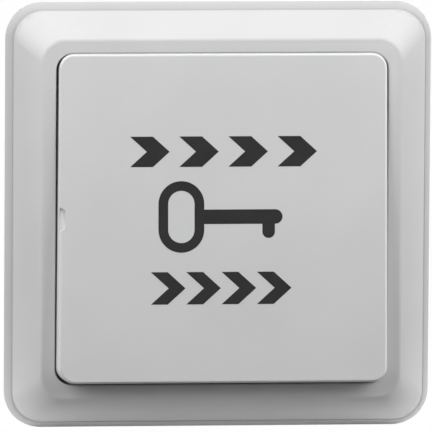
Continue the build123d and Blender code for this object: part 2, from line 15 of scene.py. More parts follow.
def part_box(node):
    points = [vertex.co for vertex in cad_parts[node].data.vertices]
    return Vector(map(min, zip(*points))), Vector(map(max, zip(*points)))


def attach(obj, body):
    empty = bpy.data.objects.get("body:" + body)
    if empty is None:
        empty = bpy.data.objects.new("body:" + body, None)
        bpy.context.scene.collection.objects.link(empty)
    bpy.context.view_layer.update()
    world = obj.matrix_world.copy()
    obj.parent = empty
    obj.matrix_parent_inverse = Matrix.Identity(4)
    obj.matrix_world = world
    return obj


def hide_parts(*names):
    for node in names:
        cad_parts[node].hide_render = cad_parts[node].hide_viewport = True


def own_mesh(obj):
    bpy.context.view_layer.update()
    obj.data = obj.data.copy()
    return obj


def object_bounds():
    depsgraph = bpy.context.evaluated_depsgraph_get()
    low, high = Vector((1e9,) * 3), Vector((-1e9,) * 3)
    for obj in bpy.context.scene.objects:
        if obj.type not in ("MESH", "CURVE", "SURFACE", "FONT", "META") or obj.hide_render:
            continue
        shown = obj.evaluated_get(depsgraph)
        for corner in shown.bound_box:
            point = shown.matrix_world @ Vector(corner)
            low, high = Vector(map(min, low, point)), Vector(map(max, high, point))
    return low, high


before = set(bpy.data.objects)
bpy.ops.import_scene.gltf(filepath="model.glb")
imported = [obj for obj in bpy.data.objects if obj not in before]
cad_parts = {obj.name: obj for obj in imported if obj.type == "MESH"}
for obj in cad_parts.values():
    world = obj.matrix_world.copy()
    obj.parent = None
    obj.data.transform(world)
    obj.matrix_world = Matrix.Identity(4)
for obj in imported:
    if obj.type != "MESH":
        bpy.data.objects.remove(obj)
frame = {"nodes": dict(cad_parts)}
cad_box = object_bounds()

bl_info = {
    "name": "Door Exit Button",
    "version": (1, 0, 0),
    "blender": (4, 5, 0),
    "location": "3D View > Sidebar > Exit Button",
    "description": "Dresses the packed door exit button and sets its stage",
    "category": "Object",
}

MM = 0.001
NODES = frame["nodes"]

# The frame, in millimetres: its corners, its crease and its ridge, as the frame model has them
CORNER_RADIUS = 7.4
CREASE_HEIGHT, CREASE_RADIUS = 2.9, 6.0
RIM_HEIGHT, RIDGE_REACH, HOLLOW_REACH = 8.4, 34.8, 41.4
GROOVE_WIDTH, GROOVE_DEPTH, GROOVE_WALL = 0.5, 0.12, 0.05
SLANT = (1.0, 1.713, 2.937)  # a direction along which no two faces lie level, which gives them a fixed order
RIDGE_ROUNDING, FINER_SHARE = 0.55, 0.3

# The key, in millimetres: its face in the opening, its skirt and its notch
KEY_CORNER_RADIUS, CORNER_HEIGHT, ROUNDED_DEPTH = 3.0, 2.6, 2.0
FACE_RISE, FACE_ASIDE, FACE_DEPTH = 0.22, 0.15, 1.0
SKIRT_FLARE, SKIRT_REACH, SKIRT_WALL, SKIRT_DEPTH = 0.3, 32.0, 0.9, 3.0
NOTCH_LENGTH, NOTCH_DEPTH, NOTCH_DROP, NOTCH_CORNER = 4.6, 1.15, 0.4, 0.9

# Tones: the painted highlight line along the key's edge, and the painted shade on the frame's side at the crease
# and at the wall
HIGHLIGHT_LINE_WIDTH, PAINTED_HIGHLIGHT_TONE = 0.24, (0.74, 0.74, 0.74)
PAINTED_SHADE_TONES = (0.72, 0.88)


def both(name):
    """The names of a frame node's left and right copies."""
    return f"{name}_left", f"{name}_right"


# Plastics: nodes, then roughness, swing of the tint, painted highlight on the edges (a lighter tint where they are
# also smoother) and depth of the grain
PLASTICS = (
    ("Frame plastic", "frame", ("front_frame",), 0.42, 0.02, 0.05, 1.0),
    ("Key plastic", "key", ("key_plate",), 0.4, 0.02, 0.1, 1.0),
    ("Base plastic", "base", ("mounting_base",), 0.5, 0.04, 0.05, 1.6),
    ("Switch plastic", "switch", ("switch_housing",), 0.48, 0.04, 0.05, 1.4),
    ("Cover plastic", "cover", ("switch_cover",), 0.5, 0.15, 0.04, 1.6),
    ("Plunger plastic", "plunger", ("plunger",), 0.38, 0.06, 0.02, 1.0),
    ("Bumper rubber", "rubber", both("bumper"), 0.82, 0.2, 0.03, 2.0),
)

FASTENERS = (*both("clamp_washer"), *both("terminal_screw"), "housing_screws", "cover_screws")
COILS = ("bridge_clip", "contact_spring", "return_spring", *both("key_spring"))

# Metals: nodes, then roughness, tone of the blotches, and size of the drawn lines in millimetres
METALS = (
    ("Brass", "brass", ("contact_bridge", *both("terminal_strip")), 0.28, 0.8, 0.08),
    ("Contact silver", "silver", ("bridge_contacts", *both("fixed_contact")), 0.22, 0.85, 0.08),
    ("Zinc plate", "zinc", FASTENERS, 0.32, 0.7, 0.08),
    ("Spring steel", "spring", COILS, 0.3, 0.7, 0.05),
)

# Rows of chevrons, in millimetres: middle across and up, width and height of the row, and thickness of a stroke
CHEVRON_ROWS = ((0.1, 13.45, 37.6, 6.1, 4.6), (-0.4, -13.9, 28.3, 6.5, 3.4))
CHEVRONS_IN_ROW, CHEVRON_POINT = 4, 0.55

# Springs: wire and turns, the joint that presses them, what is left of them there, and their body
SPRINGS = (
    ("key_spring_left", 0.7, 6.5, "key_press", 0.74, "plate"),
    ("key_spring_right", 0.7, 6.5, "key_press", 0.74, "plate"),
    ("return_spring", 0.4, 6.5, "plunger_slide", 0.70, "plate"),
    ("contact_spring", 0.32, 3.6, None, 1.0, "plunger"),
)
COIL_INSET, COIL_LEAN, CLOSED_PITCH = 0.72, 0.09, 1.04  # in wires

# Screws, in millimetres: head radius and height, shank radius, pitch, whether slotted, turn, whether two
SCREWS = (
    ("terminal_screw_left", 2.7, 1.8, 1.5, 0.5, True, 0.5, False),
    ("terminal_screw_right", 2.7, 1.8, 1.5, 0.5, True, 1.9, False),
    ("housing_screws", 2.2, 1.5, 1.25, 0.8, False, 0.3, True),
    ("cover_screws", 1.8, 1.2, 1.0, 0.7, False, 1.1, True),
)

# Shares of a head's radius, of its height, and of the thread's pitch
BAR_REACH, BAR_HALF, RECESS_WALL, RECESS_TAPER = 0.62, 0.16, 0.05, 0.35
RIM_SHARE, CROWN_SHARE, RECESS_SHARE, SLOT_SHARE = 0.22, 0.18, 0.62, 0.45
THREAD_DEPTH, THREAD_FADE, TIP_TAPER, TIP_RADIUS = 0.55, 1.5, 1.2, 0.62

# Sky: its plain level, what it gains upward, to the right and to both sides, its least, and its strength against
# the depth of its direction, from -1 in front of the wall to 1 behind it
SKY_PLAIN, SKY_UPWARD, SKY_RIGHT, SKY_SIDES, SKY_LEAST = 0.9, 0.3, 0.2, 1.5, 0.2
SKY_RING = ((-1.0, 0.0), (-0.35, 0.0), (-0.2, 0.8), (-0.05, 0.5), (0.05, 0.1), (0.5, 0.2), (0.75, 1.5), (1.0, 2.6))
SKY_PEAK = 3.0

# Floor, in metres: how far the pale card under the plate reaches, how soft its edge is, and the two tones
CARD_REACH, CARD_EDGE = (0.06, 0.0105, 1), 0.003
CARD_TONE, FLOOR_TONE, FLOOR_SHOWN = 0.95, 0.1, 0.9
FLOOR_GLOW = 0.985

# Lamps, in metres: place, width and height
LAMPS = (
    ("Left lamp", "side_power", (-0.28, -0.2, 0.2), 0.3, 0.3),
    ("Right lamp", "side_power", (0.28, -0.2, 0.2), 0.3, 0.3),
    ("Top lamp", "top_power", (0.0, -0.12, 0.24), 0.4, 0.12),
)


def display(red, green, blue):
    """The linear colour behind three 8-bit display values: the display's curve, undone."""
    shade = np.array([red, green, blue]) / 255
    return np.where(shade <= 0.04045, shade / 12.92, ((shade + 0.055) / 1.055) ** 2.4).tolist()


def colour(label, about, red, green, blue):
    """A colour that the user may change, given by its 8-bit display values."""
    return bpy.props.FloatVectorProperty(
        name=label,
        description=about,
        subtype="COLOR",
        size=3,
        min=0,
        max=1,
        default=display(red, green, blue),
    )


def number(label, about, value, lowest=0.0, **settings):
    """A number that the user may change."""
    return bpy.props.FloatProperty(name=label, description=about, default=value, min=lowest, **settings)


def length(label, about, millimetres, lowest=0.0):
    """A length that the user may change."""
    return number(label, about, millimetres * MM, lowest, unit="LENGTH", precision=6)


def angle(label, about, degrees):
    """An angle that the user may change, up to half a turn either way."""
    return number(label, about, radians(degrees), -pi, max=pi, subtype="ANGLE")


class ExitButtonColours(bpy.types.PropertyGroup):
    """Colours of the moulded, printed and metal finishes."""

    frame: colour("Frame", "Moulded plastic of the outer frame", 202, 202, 203)
    key: colour("Key", "Moulded plastic of the push key", 202, 202, 203)
    base: colour("Base", "Moulded plastic of the mounting base", 190, 190, 188)
    switch: colour("Switch body", "Moulded plastic of the switch body", 206, 205, 198)
    cover: colour("Rear cover", "Dark plastic of the rear cover", 38, 38, 40)
    plunger: colour("Plunger", "Coloured plastic of the plunger", 168, 30, 24)
    ink: colour("Ink", "Printed key symbol and chevrons", 40, 40, 41)
    brass: colour("Brass", "Terminal strips and contact bridge", 214, 178, 104)
    silver: colour("Contacts", "Silver alloy of the contact rivets", 222, 220, 214)
    zinc: colour("Zinc plate", "Plated steel of the screws and clamps", 190, 193, 196)
    spring: colour("Spring steel", "Wire of the springs", 150, 150, 152)
    rubber: colour("Rubber", "Bumpers under the key", 34, 33, 33)


class ExitButtonSizes(bpy.types.PropertyGroup):
    """Sizes of what is added to the frame model."""

    edge_rounding: length("Edge rounding", "Rounding of the moulded edges", 0.16)
    ink_thickness: length("Ink thickness", "How far the print stands on the key", 0.015)
    grain_size: length("Grain size", "Size of the moulded grain on the plastic", 0.42)
    grain_depth: length("Grain depth", "Depth of the moulded grain on the plastic", 0.012)
    wear_width: length("Wear width", "How far polish reaches in from an edge", 0.35)


class ExitButtonStage(bpy.types.PropertyGroup):
    """Camera and light."""

    azimuth: angle("Azimuth", "Camera angle round the object", -6.0)
    elevation: angle("Elevation", "Camera angle above the horizon", 6.8)
    roll: angle("Roll", "Camera turn about its own line of sight", 0.39)
    aside: length("Aside", "How far the aim lies to the right", -0.26, lowest=-1.0)
    above: length("Above", "How far the aim lies above the middle", -0.42, lowest=-1.0)
    distance: length("Distance", "From the camera to the plate", 2000)
    focal_length: number("Focal length", "Lens, in millimetres for a 36 mm sensor", 828.5, max=5000)
    floor_size: length("Floor size", "Side of the square floor", 9000)
    sky_level: number("Sky level", "Strength of the light from all round", 1.0, max=4)
    side_power: number("Side lamps", "Soft lamp on each side", 1.2, unit="POWER")
    top_power: number("Top lamp", "Soft lamp close above", 0.2, unit="POWER")


# Node trees


def put(tree, kind, inputs=None, **settings):
    """Adds a node with its settings, and with each input set to a value or linked to an output."""
    made = tree.nodes.new(kind)
    for name, value in settings.items():
        setattr(made, name, value)
    for name, value in (inputs or {}).items():
        if isinstance(value, bpy.types.NodeSocket):
            tree.links.new(value, made.inputs[name])
        else:
            made.inputs[name].default_value = value
    return made


def maths(tree, operation, first, second=0.5, third=0.5):
    """One step of arithmetic on values or outputs."""
    return put(tree, "ShaderNodeMath", {0: first, 1: second, 2: third}, operation=operation).outputs[0]


def ranged(tree, value, low, high, start=0.0, end=1.0):
    """A value from start to end, carried to low to high and held there."""
    inputs = {"Value": value, "From Min": start, "From Max": end, "To Min": low, "To Max": high}
    return put(tree, "ShaderNodeMapRange", inputs).outputs["Result"]


def blended(tree, factor, first, second, blend_type="MIX"):
    """Two colours mixed by a factor."""
    made = put(tree, "ShaderNodeMix", {"Factor": factor}, data_type="RGBA", blend_type=blend_type)
    for slot, value in (("A_Color", first), ("B_Color", second)):
        socket = next(s for s in made.inputs if s.identifier == slot)
        if isinstance(value, bpy.types.NodeSocket):
            tree.links.new(value, socket)
        else:
            socket.default_value = (*value, 1)
    return next(s for s in made.outputs if s.identifier == "Result_Color")


def mixed_by(tree, factor, first, second):
    """Two shader nodes mixed by a factor."""
    return put(tree, "ShaderNodeMixShader", {0: factor, 1: first.outputs[0], 2: second.outputs[0]})


def shared_group(name, inputs, outputs):
    """An empty node group with named value inputs and outputs, and its two end nodes."""
    tree = bpy.data.node_groups.new(name, "ShaderNodeTree")
    for label, value in inputs.items():
        tree.interface.new_socket(label, in_out="INPUT", socket_type="NodeSocketFloat").default_value = value
    for label in outputs:
        tree.interface.new_socket(label, in_out="OUTPUT", socket_type="NodeSocketFloat")
    return tree, tree.nodes.new("NodeGroupInput"), tree.nodes.new("NodeGroupOutput")


def moulded_grain():
    """Spark-eroded mould grain with a slow cloudiness under it, both as values from 0 to 1."""
    tree, given, result = shared_group(
        "Moulded grain", {"Grain Size": 0.4 * MM, "Cloud Size": 18 * MM}, ["Grain", "Cloud"]
    )
    place = put(tree, "ShaderNodeTexCoord").outputs["Object"]
    fine = maths(tree, "DIVIDE", 1.0, given.outputs["Grain Size"])
    slow = maths(tree, "DIVIDE", 1.0, given.outputs["Cloud Size"])
    pits = put(tree, "ShaderNodeTexVoronoi", {"Vector": place, "Scale": fine}, feature="SMOOTH_F1")
    haze = put(tree, "ShaderNodeTexNoise", {"Vector": place, "Scale": fine, "Detail": 3.0, "Roughness": 0.6})
    cloud = put(tree, "ShaderNodeTexNoise", {"Vector": place, "Scale": slow, "Detail": 2.0})
    grain = maths(tree, "MULTIPLY_ADD", pits.outputs["Distance"], 0.6, 0.0)
    grain = maths(tree, "MULTIPLY_ADD", haze.outputs["Fac"], 0.7, grain)
    tree.links.new(grain, result.inputs["Grain"])
    tree.links.new(ranged(tree, cloud.outputs["Fac"], 0, 1, 0.3, 0.7), result.inputs["Cloud"])
    return tree


def edge_polish_and_highlight():
    """Where an edge is near: the surface's own normal against one averaged over the wear width. The finishes use
    it for smoother edges and for a painted highlight, a lighter colour there.
    """
    tree, given, result = shared_group("Edge polish", {"Width": 0.35 * MM, "Break Up": 0.4}, ["Polish"])
    soft = put(tree, "ShaderNodeBevel", {"Radius": given.outputs["Width"]}, samples=6)
    own = put(tree, "ShaderNodeNewGeometry").outputs["Normal"]
    turned = put(
        tree, "ShaderNodeVectorMath", {0: soft.outputs["Normal"], 1: own}, operation="DOT_PRODUCT"
    ).outputs["Value"]
    near = ranged(tree, turned, 1, 0, 0.86, 0.998)
    place = put(tree, "ShaderNodeTexCoord").outputs["Object"]
    patch = put(tree, "ShaderNodeTexNoise", {"Vector": place, "Scale": 1 / (6 * MM), "Detail": 2.0})
    kept = maths(tree, "SUBTRACT", 1.0, given.outputs["Break Up"])
    broken = maths(tree, "MULTIPLY_ADD", patch.outputs["Fac"], given.outputs["Break Up"], kept)
    tree.links.new(maths(tree, "MULTIPLY", near, broken), result.inputs["Polish"])
    return tree


def painted_highlight_line():
    """A fine line of painted highlight just inside the edge of an upright rounded square, as a value from 0 to 1.

    With q the distance past the middles of the corners, no less than 0 on either axis, the edge lies where the
    length of q is the corners' radius; the line follows it at its own width.
    """
    tree, given, result = shared_group(
        "Edge line",
        {"Half Width": 33 * MM, "Half Height": 33 * MM, "Middle": 0.0, "Radius": 3.4 * MM, "Line": 0.35 * MM},
        ["Line"],
    )
    place = put(tree, "ShaderNodeSeparateXYZ", {0: put(tree, "ShaderNodeTexCoord").outputs["Object"]}).outputs
    past = []
    for value, half in ((place["X"], "Half Width"), (place["Z"], "Half Height")):
        if half == "Half Height":
            value = maths(tree, "SUBTRACT", value, given.outputs["Middle"])
        reach = maths(tree, "SUBTRACT", given.outputs[half], given.outputs["Radius"])
        past.append(maths(tree, "MAXIMUM", maths(tree, "SUBTRACT", maths(tree, "ABSOLUTE", value), reach), 0.0))
    length_of = maths(tree, "SQRT", maths(tree, "ADD", *(maths(tree, "POWER", value, 2.0) for value in past)))
    inside = maths(tree, "SUBTRACT", given.outputs["Radius"], length_of)
    aside = maths(tree, "ABSOLUTE", maths(tree, "SUBTRACT", inside, given.outputs["Line"]))
    thin = maths(tree, "DIVIDE", aside, given.outputs["Line"])
    tree.links.new(ranged(tree, thin, 1, 0, 0.45, 0.95), result.inputs["Line"])
    return tree


def drawn_metal():
    """Fine lines across X with blotches under them, both as values from 0 to 1."""
    tree, given, result = shared_group(
        "Drawn metal", {"Line Size": 0.08 * MM, "Blotch Size": 2.5 * MM}, ["Lines", "Blotches"]
    )
    place = put(tree, "ShaderNodeTexCoord").outputs["Object"]
    drawn = put(tree, "ShaderNodeMapping", {"Vector": place, "Scale": (0.08, 1, 1)}).outputs["Vector"]
    fine = maths(tree, "DIVIDE", 1.0, given.outputs["Line Size"])
    slow = maths(tree, "DIVIDE", 1.0, given.outputs["Blotch Size"])
    lines = put(tree, "ShaderNodeTexNoise", {"Vector": drawn, "Scale": fine, "Detail": 3.0})
    blotches = put(tree, "ShaderNodeTexNoise", {"Vector": place, "Scale": slow, "Detail": 4.0})
    tree.links.new(ranged(tree, lines.outputs["Fac"], 0, 1, 0.3, 0.7), result.inputs["Lines"])
    tree.links.new(ranged(tree, blotches.outputs["Fac"], 0, 1, 0.3, 0.7), result.inputs["Blotches"])
    return tree


def bumped(tree, shader, height, distance, strength=1.0):
    """Lets a height tip the shader's normal."""
    bump = put(tree, "ShaderNodeBump", {"Height": height, "Distance": distance, "Strength": strength})
    tree.links.new(bump.outputs["Normal"], shader.inputs["Normal"])


def placed(tree, group, **inputs):
    """A shared group set into a material with its own values."""
    made = tree.nodes.new("ShaderNodeGroup")
    made.node_tree = group
    for name, value in inputs.items():
        made.inputs[name.replace("_", " ")].default_value = value
    return made


def new_material(name):
    """A material, its node tree and its Principled shader."""
    made = bpy.data.materials.new(name)
    made.use_nodes = True
    return made, made.node_tree, made.node_tree.nodes["Principled BSDF"]


def plastic(name, tint, groups, sizes, roughness, swing, polish_and_highlight, depth, painted_shade_band=None, line=None):
    """Moulded plastic: clouded colour, grain in the normal, and smoother edges with a painted highlight, a lighter
    tint.

    painted_shade_band is the height under which the side is tinted towards black as painted shade, with its tone
    there and at the wall. line gives the values of the fine painted highlight line along the edge of a thin face.
    """
    made, tree, shader = new_material(name)
    grain = placed(tree, groups["grain"], Grain_Size=sizes.grain_size, Cloud_Size=18 * MM)
    edge = placed(tree, groups["edge"], Width=sizes.wear_width, Break_Up=0.5)
    tint = np.array(tint)
    body = blended(tree, grain.outputs["Cloud"], (tint * (1 - swing)).tolist(), (tint * (1 + swing)).tolist())
    # Painted highlight: edges take a lighter tint, standing in for the light that rounded edges catch.
    painted_highlight_tint = np.clip(tint * (1 + polish_and_highlight) + polish_and_highlight / 2, 0, 1).tolist()
    body = blended(tree, edge.outputs["Polish"], body, painted_highlight_tint)
    # Painted shade: behind the crease the frame's side is tinted towards black, most at the crease and less at the
    # wall.
    if painted_shade_band:
        place = put(tree, "ShaderNodeTexCoord").outputs["Object"]
        nearer = put(tree, "ShaderNodeSeparateXYZ", {0: place}).outputs["Y"]
        inside = ranged(tree, nearer, 0, 1, (-painted_shade_band[0] - 0.05) * MM, (-painted_shade_band[0] + 0.05) * MM)
        painted_shade_amount = ranged(tree, nearer, 1 - painted_shade_band[1], 1 - painted_shade_band[2], -painted_shade_band[0] * MM, 0)
        body = blended(tree, maths(tree, "MULTIPLY", inside, painted_shade_amount), body, (0.0, 0.0, 0.0))
    # Painted highlight: a pale line just inside the key's edge, standing in for the light that its rounded edge
    # catches.
    if line:
        painted_line = placed(tree, groups["line"], **line)
        body = blended(tree, painted_line.outputs["Line"], body, PAINTED_HIGHLIGHT_TONE)
    tree.links.new(body, shader.inputs["Base Color"])
    dull = ranged(tree, grain.outputs["Cloud"], roughness - 0.04, roughness + 0.05)
    smoother = maths(tree, "MULTIPLY_ADD", edge.outputs["Polish"], -0.12, dull)
    tree.links.new(smoother, shader.inputs["Roughness"])
    bumped(tree, shader, grain.outputs["Grain"], sizes.grain_depth * depth)
    shader.inputs["Specular IOR Level"].default_value = 0.4
    return made


def metal(name, tint, groups, roughness, dark, line_size):
    """Plated or rolled metal: drawn lines in the normal and the roughness, blotches in the colour."""
    made, tree, shader = new_material(name)
    worked = placed(tree, groups["metal"], Line_Size=line_size, Blotch_Size=2.5 * MM)
    edge = placed(tree, groups["edge"], Width=0.15 * MM, Break_Up=0.3)
    tint = np.array(tint)
    body = blended(tree, worked.outputs["Blotches"], tint.tolist(), (tint * dark).tolist())
    bright = np.clip(tint * 1.25, 0, 1).tolist()
    tree.links.new(blended(tree, edge.outputs["Polish"], body, bright), shader.inputs["Base Color"])
    dull = ranged(tree, worked.outputs["Lines"], roughness - 0.07, roughness + 0.1)
    tree.links.new(dull, shader.inputs["Roughness"])
    bumped(tree, shader, worked.outputs["Lines"], 0.002 * MM, strength=0.6)
    shader.inputs["Metallic"].default_value = 1.0
    return made


def printed_ink(name, tint, groups, sizes):
    """Screen-printed ink: a little uneven in density, with the grain of the plastic showing through."""
    made, tree, shader = new_material(name)
    grain = placed(tree, groups["grain"], Grain_Size=sizes.grain_size, Cloud_Size=4 * MM)
    tint = np.array(tint)
    body = blended(tree, grain.outputs["Cloud"], (tint * 0.88).tolist(), (tint * 1.14).tolist())
    tree.links.new(body, shader.inputs["Base Color"])
    tree.links.new(ranged(tree, grain.outputs["Cloud"], 0.5, 0.62), shader.inputs["Roughness"])
    bumped(tree, shader, grain.outputs["Grain"], sizes.grain_depth * 0.6)
    shader.inputs["Specular IOR Level"].default_value = 0.15
    return made


# Meshes


def ring_faces(rows, columns, closed=False):
    """Quads between rows of points that each run round in a ring. Where closed, the last row joins the first."""
    row, column = np.meshgrid(np.arange(rows if closed else rows - 1), np.arange(columns), indexing="ij")
    row_on, column_on = (row + 1) % rows, (column + 1) % columns
    corners = [row * columns + column, row_on * columns + column]
    corners += [row_on * columns + column_on, row * columns + column_on]
    return np.stack(corners, -1).reshape(-1, 4).tolist()


def capped(rings):
    """A closed shell from a stack of rings: quads between them, and a fan of triangles over each end."""
    rows, columns = rings.shape[:2]
    points = np.concatenate([rings.reshape(-1, 3), [rings[0].mean(0)], [rings[-1].mean(0)]])
    here = np.arange(columns)
    on = (here + 1) % columns
    first = np.stack([np.full(columns, rows * columns), on, here], -1)
    base = (rows - 1) * columns
    last = np.stack([np.full(columns, rows * columns + 1), base + here, base + on], -1)
    return points, ring_faces(rows, columns) + first.tolist() + last.tolist()


def looped(rings):
    """A closed shell from rings whose last joins the first, such as a washer with a hole."""
    return rings.reshape(-1, 3), ring_faces(*rings.shape[:2], closed=True)


def raised(outline, foot, top):
    """A closed shell over a flat outline, from the foot points to the top points, with one face on each end."""
    columns = len(outline)
    points = np.concatenate([foot, top])
    faces = ring_faces(2, columns)
    return points, faces + [list(range(columns))[::-1], list(range(columns, 2 * columns))]


def rounded_rectangle(width, height, radius, steps=12):
    """Points round a rectangle with round corners: four quarter circles, joined by straight runs."""
    turn = np.linspace(0, pi / 2, steps + 1)
    corners = [
        np.stack([x + radius * np.cos(turn + start), z + radius * np.sin(turn + start)], -1)
        for x, z, start in (
            (width / 2 - radius, height / 2 - radius, 0),
            (radius - width / 2, height / 2 - radius, pi / 2),
            (radius - width / 2, radius - height / 2, pi),
            (width / 2 - radius, radius - height / 2, 3 * pi / 2),
        )
    ]
    return np.concatenate(corners)


def shell_mesh(name, shells):
    """A mesh from closed shells in millimetres, with its faces outward."""
    points, faces, start = [], [], 0
    for shell_points, shell_faces in shells:
        points.append(shell_points)
        faces += [[start + corner for corner in face] for face in shell_faces]
        start += len(shell_points)
    mesh = bpy.data.meshes.new(name)
    mesh.from_pydata((np.concatenate(points) * MM).tolist(), [], faces)
    work = bmesh.new()
    work.from_mesh(mesh)
    bmesh.ops.recalc_face_normals(work, faces=work.faces)
    work.to_mesh(mesh)
    work.free()
    return mesh


def make_piece(name, shells, body, finish, sharp=30):
    """One object from closed shells in millimetres, smooth but for edges sharper than that."""
    return set_in_place(name, shell_mesh(name, shells), body, finish, sharp)


def set_in_place(name, mesh, body, finish, sharp):
    """An object at the origin for a finished mesh, on its body and with its finish."""
    mesh.polygons.foreach_set("use_smooth", [True] * len(mesh.polygons))
    mesh.set_sharp_from_angle(angle=radians(sharp))
    mesh.materials.clear()
    mesh.materials.append(finish)
    made = bpy.data.objects.new(name, mesh)
    bpy.context.scene.collection.objects.link(made)
    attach(made, body)
    return made


def whole_copy(node):
    """The mesh of a frame node with its doubles merged and its flat triangles joined into whole faces."""
    mesh = NODES[node].data.copy()
    work = bmesh.new()
    work.from_mesh(mesh)
    bmesh.ops.remove_doubles(work, verts=work.verts, dist=0.002 * MM)
    bmesh.ops.dissolve_limit(work, angle_limit=radians(0.4), verts=work.verts, edges=work.edges)
    work.to_mesh(mesh)
    work.free()
    mesh.update()
    return mesh


def rounded_copy(name, node, body, finish, rounding, sharp=22, chosen=None, shape=None):
    """A frame node again, with its sharp outer edges rounded by a bevel. It stands for the node.

    shape changes the copy's mesh first, and chosen gives each edge its share of the rounding, from 0 to 1.
    """
    mesh = whole_copy(node)
    if shape:
        mesh = shape(mesh)
    work = bmesh.new()
    work.from_mesh(mesh)
    weights = work.edges.layers.float.new("bevel_weight_edge")
    for edge in work.edges:
        if len(edge.link_faces) == 2 and edge.is_convex:
            if edge.calc_face_angle() > radians(sharp):
                edge[weights] = float(chosen(edge)) if chosen else 1.0
    work.to_mesh(mesh)
    work.free()
    made = set_in_place(name, mesh, body, finish, sharp)
    bevel = made.modifiers.new("Rounded edges", "BEVEL")
    bevel.limit_method = "WEIGHT"
    bevel.width = rounding
    bevel.segments = 3
    bevel.use_clamp_overlap = True
    bevel.harden_normals = True
    bevel.miter_outer = "MITER_ARC"
    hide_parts(node)
    return made


def cut_away(mesh, shells):
    """A mesh less closed shells, by a boolean that is worked out here and left as plain faces."""
    pair = [bpy.data.objects.new("kept", mesh), bpy.data.objects.new("cutter", shell_mesh("cutter", shells))]
    for made in pair:
        bpy.context.scene.collection.objects.link(made)
    cut = pair[0].modifiers.new("Cut", "BOOLEAN")
    cut.object = pair[1]
    cut.solver = "EXACT"
    cut.operation = "DIFFERENCE"
    graph = bpy.context.evaluated_depsgraph_get()
    result = bpy.data.meshes.new_from_object(pair[0].evaluated_get(graph), depsgraph=graph)
    for made in pair:
        bpy.data.objects.remove(made)
    return result


def points_of(mesh):
    """Every point of a mesh, in millimetres."""
    points = np.empty(len(mesh.vertices) * 3)
    mesh.vertices.foreach_get("co", points)
    return points.reshape(-1, 3) / MM


def box_of(node):
    """The lowest and highest corners of a frame node at rest, in millimetres."""
    return (np.array(corner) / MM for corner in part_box(node))


def give(nodes, finish):
    """Gives frame nodes their finish."""
    for node in nodes:
        mesh = NODES[node].data
        mesh.materials.clear()
        mesh.materials.append(finish)


def key_face():
    """The middle of the key's face at rest, its own right, up and outward directions, in millimetres."""
    mesh = NODES["key_plate"].data
    count = len(mesh.polygons)
    normals, centres, areas = np.empty(count * 3), np.empty(count * 3), np.empty(count)
    mesh.polygons.foreach_get("normal", normals)
    mesh.polygons.foreach_get("center", centres)
    mesh.polygons.foreach_get("area", areas)
    normals, centres = normals.reshape(-1, 3), centres.reshape(-1, 3) / MM
    facing = normals @ (0, -1, 0) > cos(radians(12))
    outward = np.average(normals[facing], axis=0, weights=areas[facing])
    outward = outward / np.linalg.norm(outward)
    reach = centres @ outward
    face = facing & (reach > reach[facing].max() - 0.01)
    right = np.array([1.0, 0.0, 0.0])
    up = np.cross(outward, right) * -1
    up = up if up[2] > 0 else -up
    along = points_of(mesh) @ up
    middle = (along.min() + along.max()) / 2
    return outward * np.average(reach[face], weights=areas[face]) + up * middle, right, up, outward


def key_outline():
    """The middle of the key's face, half its width and half its height as seen from the front, in millimetres."""
    middle, _, _, outward = key_face()
    points = points_of(NODES["key_plate"].data)
    face = points[points @ outward > middle @ outward - 1.5 * FACE_DEPTH]
    middle = (face.min(axis=0) + face.max(axis=0)) / 2
    return middle, np.ptp(face[:, 0]) / 2, np.ptp(face[:, 2]) / 2


def frame_share(edge):
    """An edge of the frame's share of the softest rounding: all on the ridge, none inside the frame's hollow."""
    depth = max(point.co.y for point in edge.verts) / MM
    reach = min(max(abs(point.co.x), abs(point.co.z)) for point in edge.verts) / MM
    if depth < -RIM_HEIGHT and reach > RIDGE_REACH:
        return 1.0
    return FINER_SHARE if depth < -RIM_HEIGHT or reach > HOLLOW_REACH else 0.0


def grooved_frame(mesh):
    """The frame's mesh, with a fine groove along the crease between its side and its bevel.

    A point is on the crease at the crease's height, when its distance from the square of the corners' middles is
    the corners' radius. The crease's edges become a narrow strip, and the strip is set in by the groove's depth.
    """
    work = bmesh.new()
    work.from_mesh(mesh)
    low, high = box_of("front_frame")
    square = (high - low)[0] / 2 - CORNER_RADIUS

    def on_the_crease(point):
        aside, above = max(abs(point.x) / MM - square, 0), max(abs(point.z) / MM - square, 0)
        return abs(point.y / MM + CREASE_HEIGHT) < 0.02 and hypot(aside, above) > CREASE_RADIUS - 0.5

    crease = [edge for edge in work.edges if all(on_the_crease(point.co) for point in edge.verts)]
    strip = bmesh.ops.bevel(
        work,
        geom=crease,
        offset=GROOVE_WIDTH / 2 * MM,
        offset_type="OFFSET",
        segments=1,
        profile=0.5,
        affect="EDGES",
    )["faces"]
    bmesh.ops.inset_region(
        work, faces=strip, thickness=GROOVE_WALL * MM, depth=-GROOVE_DEPTH * MM, use_even_offset=True
    )
    work.faces.sort(key=lambda face: face.calc_center_median().dot(SLANT))
    work.to_mesh(mesh)
    work.free()
    return mesh


